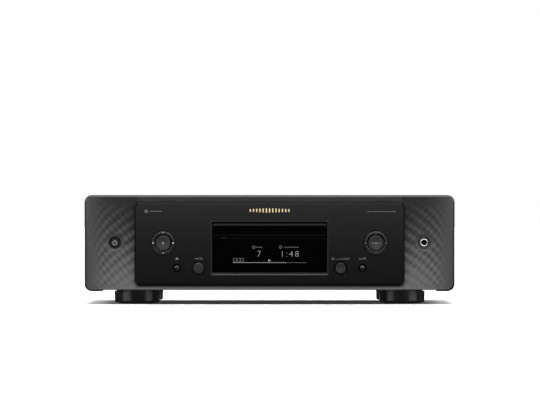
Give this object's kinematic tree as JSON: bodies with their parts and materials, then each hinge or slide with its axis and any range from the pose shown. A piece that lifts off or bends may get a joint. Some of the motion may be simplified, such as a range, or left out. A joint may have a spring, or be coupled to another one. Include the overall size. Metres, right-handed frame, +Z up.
{
  "type": "disc player",
  "caption": "Full-width black disc player with a floating face plate between dished side wings, a sliding disc tray over a display, ring controls, buttons and a level knob.",
  "frame": {"origin": "on the supporting surface, under the middle of the whole player's box", "axes": "+X to the viewer's right, +Y from the front panel to the back, +Z up"},
  "size_m": [0.443, 0.424, 0.13],
  "materials": {
    "left_wing_panel": "fine-textured black moulding",
    "right_wing_panel": "fine-textured black moulding",
    "centre_backing_panel": "smooth satin black plastic",
    "face_plate": "brushed, black anodised",
    "display_lens": "smoked acrylic pane",
    "display_holder": "smooth satin black plastic",
    "display_module": "glass-epoxy board with parts",
    "transport_ring": "brushed, black anodised",
    "transport_ring_carrier": "dark grey moulding",
    "play_button": "brushed, black anodised",
    "cursor_ring": "brushed, black anodised",
    "cursor_ring_carrier": "dark grey moulding",
    "enter_button": "brushed, black anodised",
    "eject_button": "brushed, black anodised",
    "back_button": "brushed, black anodised",
    "input_button": "brushed, black anodised",
    "phones_knob": "brushed, black anodised",
    "phones_potentiometer": "zinc-plated sheet",
    "control_housings": "dark grey moulding",
    "control_boards": "glass-epoxy board with parts",
    "power_collar": "smooth satin black plastic",
    "power_button": "smooth satin black plastic",
    "headphone_socket": "smooth satin black plastic",
    "headphone_ferrule": "polished ring",
    "front_subframe": "zinc-plated sheet",
    "chassis_base": "black textured paint",
    "top_cover": "black textured paint",
    "rear_panel": "black textured paint",
    "case_screws": "blackened steel",
    "feet": "smooth satin black plastic",
    "foot_pads": "matt",
    "analogue_sockets": "gold-plated",
    "digital_sockets": "gold-plated",
    "data_ports": "zinc-plated sheet",
    "mains_inlet": "smooth satin black plastic",
    "disc_tray": "smooth satin black plastic",
    "tray_front": "brushed, black anodised",
    "loader_chassis": "smooth satin black plastic",
    "drive_gear": "natural acetal",
    "pulley_gear": "natural acetal",
    "motor_pulley": "natural acetal",
    "loading_motor": "zinc-plated sheet",
    "loading_belt": "matt",
    "traverse_chassis": "black textured paint",
    "sled_rods": "polished steel",
    "spindle_motor": "zinc-plated sheet",
    "turntable": "smooth satin black plastic",
    "pickup_sled": "plain aluminium",
    "feed_screw": "polished steel",
    "feed_motor": "zinc-plated sheet",
    "clamp_bridge": "zinc-plated sheet",
    "disc_clamp": "smooth satin black plastic",
    "loader_brackets": "zinc-plated sheet",
    "power_transformer": "wound copper under clear tape",
    "transformer_mount": "zinc-plated sheet",
    "power_board": "glass-epoxy board with parts",
    "filter_capacitors": "sleeved cans",
    "audio_board": "glass-epoxy board with parts",
    "converter_shield": "copper-plated sheet",
    "digital_board": "glass-epoxy board with parts"
  },
  "bodies": {
    "player": {"left_wing_panel": "left_wing_panel", "right_wing_panel": "right_wing_panel", "centre_backing_panel": "centre_backing_panel", "face_plate": "face_plate", "display_lens": "display_lens", "display_holder": "display_holder", "display_module": "display_module", "phones_potentiometer": "phones_potentiometer", "control_housings": "control_housings", "control_boards": "control_boards", "power_collar": "power_collar", "headphone_socket": "headphone_socket", "headphone_ferrule": "headphone_ferrule", "front_subframe": "front_subframe", "chassis_base": "chassis_base", "top_cover": "top_cover", "rear_panel": "rear_panel", "case_screws": "case_screws", "feet": "feet", "foot_pads": "foot_pads", "analogue_sockets": "analogue_sockets", "digital_sockets": "digital_sockets", "data_ports": "data_ports", "mains_inlet": "mains_inlet", "loader_chassis": "loader_chassis", "loading_motor": "loading_motor", "loading_belt": "loading_belt", "clamp_bridge": "clamp_bridge", "loader_brackets": "loader_brackets", "power_transformer": "power_transformer", "transformer_mount": "transformer_mount", "power_board": "power_board", "filter_capacitors": "filter_capacitors", "audio_board": "audio_board", "converter_shield": "converter_shield", "digital_board": "digital_board"},
    "tray": {"disc_tray": "disc_tray", "tray_front": "tray_front"},
    "drive_gear_body": {"drive_gear": "drive_gear"},
    "pulley_gear_body": {"pulley_gear": "pulley_gear"},
    "motor_pulley_body": {"motor_pulley": "motor_pulley"},
    "traverse": {"traverse_chassis": "traverse_chassis", "sled_rods": "sled_rods", "spindle_motor": "spindle_motor", "feed_motor": "feed_motor"},
    "turntable_body": {"turntable": "turntable"},
    "pickup": {"pickup_sled": "pickup_sled"},
    "feed_screw_body": {"feed_screw": "feed_screw"},
    "clamp": {"disc_clamp": "disc_clamp"},
    "power": {"power_button": "power_button"},
    "play": {"play_button": "play_button"},
    "enter": {"enter_button": "enter_button"},
    "eject": {"eject_button": "eject_button"},
    "back": {"back_button": "back_button"},
    "input": {"input_button": "input_button"},
    "level_knob": {"phones_knob": "phones_knob"},
    "transport_carrier": {"transport_ring_carrier": "transport_ring_carrier"},
    "transport": {"transport_ring": "transport_ring"},
    "cursor_carrier": {"cursor_ring_carrier": "cursor_ring_carrier"},
    "cursor": {"cursor_ring": "cursor_ring"}
  },
  "joints": [
    {"name": "tray_slide", "type": "slide", "parent": "player", "child": "tray", "axis": [0, -1, 0], "range_m": [0, 0.15]},
    {"name": "drive_gear_spin", "type": "hinge", "parent": "player", "child": "drive_gear_body", "pos_m": [-0.0485, -0.156, 0.0789], "axis": [0, 0, 1], "range_deg": [0, 959.9]},
    {"name": "pulley_gear_spin", "type": "hinge", "parent": "player", "child": "pulley_gear_body", "pos_m": [-0.0296, -0.156, 0.0705], "axis": [0, 0, 1], "range_deg": [-1914.9, 0]},
    {"name": "motor_pulley_spin", "type": "hinge", "parent": "player", "child": "motor_pulley_body", "pos_m": [-0.0026, -0.156, 0.0699], "axis": [0, 0, 1], "range_deg": [-5054.4, 0]},
    {"name": "traverse_tilt", "type": "hinge", "parent": "player", "child": "traverse", "pos_m": [0, -0.018, 0.077], "axis": [1, 0, 0], "range_deg": [0, 6.2]},
    {"name": "turntable_spin", "type": "hinge", "parent": "traverse", "child": "turntable_body", "pos_m": [0, -0.118, 0.09], "axis": [0, 0, 1], "continuous": true},
    {"name": "clamp_spin", "type": "hinge", "parent": "player", "child": "clamp", "pos_m": [0, -0.118, 0.096], "axis": [0, 0, 1], "continuous": true},
    {"name": "pickup_slide", "type": "slide", "parent": "traverse", "child": "pickup", "axis": [0, 1, 0], "range_m": [0, 0.035]},
    {"name": "feed_screw_spin", "type": "hinge", "parent": "traverse", "child": "feed_screw_body", "pos_m": [0.0275, -0.08, 0.075], "axis": [0, 1, 0], "range_deg": [0, 4205]},
    {"name": "power_button_press", "type": "slide", "parent": "player", "child": "power", "axis": [0, 1, 0], "range_m": [0, 0.001], "stiffness_N_per_m": 800},
    {"name": "play_button_press", "type": "slide", "parent": "player", "child": "play", "axis": [0, 1, 0], "range_m": [0, 0.001], "stiffness_N_per_m": 800},
    {"name": "enter_button_press", "type": "slide", "parent": "player", "child": "enter", "axis": [0, 1, 0], "range_m": [0, 0.001], "stiffness_N_per_m": 800},
    {"name": "eject_button_press", "type": "slide", "parent": "player", "child": "eject", "axis": [0, 1, 0], "range_m": [0, 0.001], "stiffness_N_per_m": 800},
    {"name": "back_button_press", "type": "slide", "parent": "player", "child": "back", "axis": [0, 1, 0], "range_m": [0, 0.001], "stiffness_N_per_m": 800},
    {"name": "input_button_press", "type": "slide", "parent": "player", "child": "input", "axis": [0, 1, 0], "range_m": [0, 0.001], "stiffness_N_per_m": 800},
    {"name": "phones_knob_turn", "type": "hinge", "parent": "player", "child": "level_knob", "pos_m": [0.085, -0.2, 0.0427], "axis": [0, 1, 0], "range_deg": [-150, 150]},
    {"name": "transport_carrier_rock", "type": "hinge", "parent": "player", "child": "transport_carrier", "pos_m": [-0.1273, -0.1966, 0.0727], "axis": [1, 0, 0], "range_deg": [-2, 2], "stiffness_Nm_per_rad": 0.6},
    {"name": "transport_ring_rock", "type": "hinge", "parent": "transport_carrier", "child": "transport", "pos_m": [-0.1273, -0.1966, 0.0727], "axis": [0, 0, 1], "range_deg": [-2, 2], "stiffness_Nm_per_rad": 0.6},
    {"name": "cursor_carrier_rock", "type": "hinge", "parent": "player", "child": "cursor_carrier", "pos_m": [0.1273, -0.1966, 0.0727], "axis": [1, 0, 0], "range_deg": [-2, 2], "stiffness_Nm_per_rad": 0.6},
    {"name": "cursor_ring_rock", "type": "hinge", "parent": "cursor_carrier", "child": "cursor", "pos_m": [0.1273, -0.1966, 0.0727], "axis": [0, 0, 1], "range_deg": [-2, 2], "stiffness_Nm_per_rad": 0.6}
  ],
  "couplings": [
    {"joint": "drive_gear_spin", "follows": "tray_slide", "rad_per_m": 111.11},
    {"joint": "pulley_gear_spin", "follows": "tray_slide", "rad_per_m": -222.22},
    {"joint": "motor_pulley_spin", "follows": "tray_slide", "rad_per_m": -587.52},
    {"joint": "traverse_tilt", "follows": "tray_slide", "rad_per_m": 0.7},
    {"joint": "feed_screw_spin", "follows": "pickup_slide", "rad_per_m": 2094.4}
  ]
}
